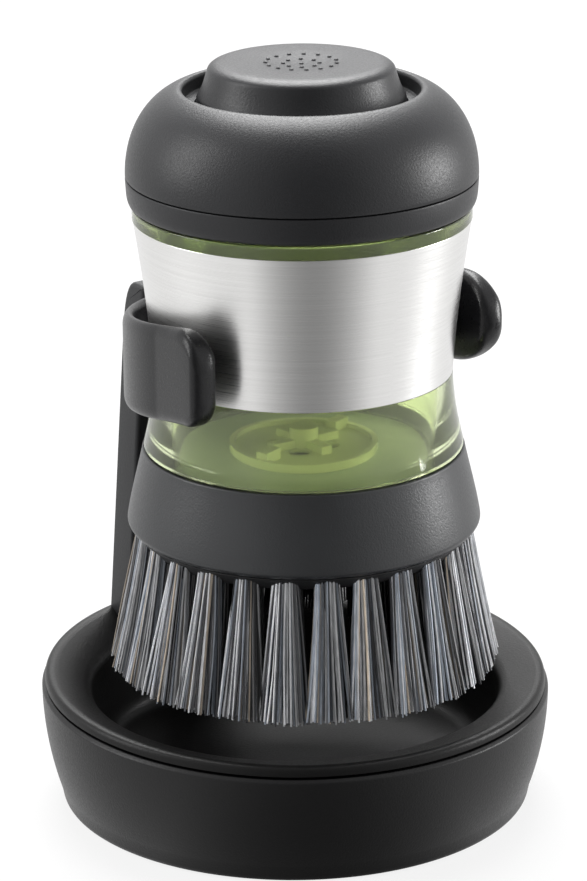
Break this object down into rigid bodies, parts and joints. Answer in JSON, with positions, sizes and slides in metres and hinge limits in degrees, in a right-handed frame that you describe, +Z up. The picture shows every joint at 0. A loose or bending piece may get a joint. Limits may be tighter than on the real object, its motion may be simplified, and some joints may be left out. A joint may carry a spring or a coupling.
{
  "type": "dish wand",
  "caption": "Palm dish brush with a clear green soap tank, steel sleeve and push button cap, standing clipped in a round holder with a drip tray.",
  "frame": {"origin": "Centre of the base's underside, on the table.", "axes": "+Z up, the clip opens towards -Y, the post stands at +Y, +X to the right seen from the front."},
  "size_m": [0.0976, 0.0976, 0.1448],
  "materials": {
    "charcoal_plastic": "matte, fine grain",
    "black_plastic": "satin",
    "grey_rubber": "soft matte",
    "clear_green": "clear gloss",
    "pale_green": "satin",
    "dark_green": "satin",
    "soft_clear": "soft, milky",
    "pale_plastic": "satin",
    "steel": "brushed round the sleeve",
    "spring_wire": "drawn wire",
    "bristle": "nylon strands"
  },
  "bodies": {
    "holder": {"base_shell": "charcoal_plastic", "non_slip_ring": "grey_rubber", "drip_tray": "black_plastic", "back_post": "charcoal_plastic", "grip_clip": "black_plastic"},
    "brush": {"tank": "clear_green", "steel_sleeve": "steel", "valve_housing": "pale_green", "housing_seal": "grey_rubber", "outlet_valve": "soft_clear", "valve_retainer": "dark_green"},
    "cap_seal": {"cap_gasket": "grey_rubber"},
    "cap": {"cap_dome": "charcoal_plastic", "cap_core": "charcoal_plastic", "air_valve": "soft_clear"},
    "push_button": {"button": "charcoal_plastic", "pump_piston": "pale_plastic", "piston_seal": "grey_rubber", "return_spring": "spring_wire"},
    "brush_head": {"brush_collar": "charcoal_plastic", "head_seal": "grey_rubber", "bristle_plate": "black_plastic", "bristle_row_1": "bristle", "bristle_row_2": "bristle", "bristle_row_3": "bristle", "bristle_row_4": "bristle"}
  },
  "joints": [
    {"name": "brush_slide", "type": "slide", "parent": "holder", "child": "brush", "axis": [0, -1, 0], "range_m": [0, 0.1]},
    {"name": "cap_lift", "type": "slide", "parent": "brush", "child": "cap_seal", "axis": [0, 0, 1], "range_m": [0, 0.05]},
    {"name": "cap_turn", "type": "hinge", "parent": "cap_seal", "child": "cap", "pos_m": [0, -0.0033, 0.122], "axis": [0, 0, 1], "range_deg": [0, 60]},
    {"name": "button_press", "type": "slide", "parent": "cap", "child": "push_button", "axis": [0, 0, -1], "range_m": [0, 0.004], "stiffness_N_per_m": 500, "deforming": ["return_spring"]},
    {"name": "head_turn", "type": "hinge", "parent": "brush", "child": "brush_head", "pos_m": [0, -0.0033, 0.0615], "axis": [0, 0, -1], "range_deg": [0, 30]}
  ]
}
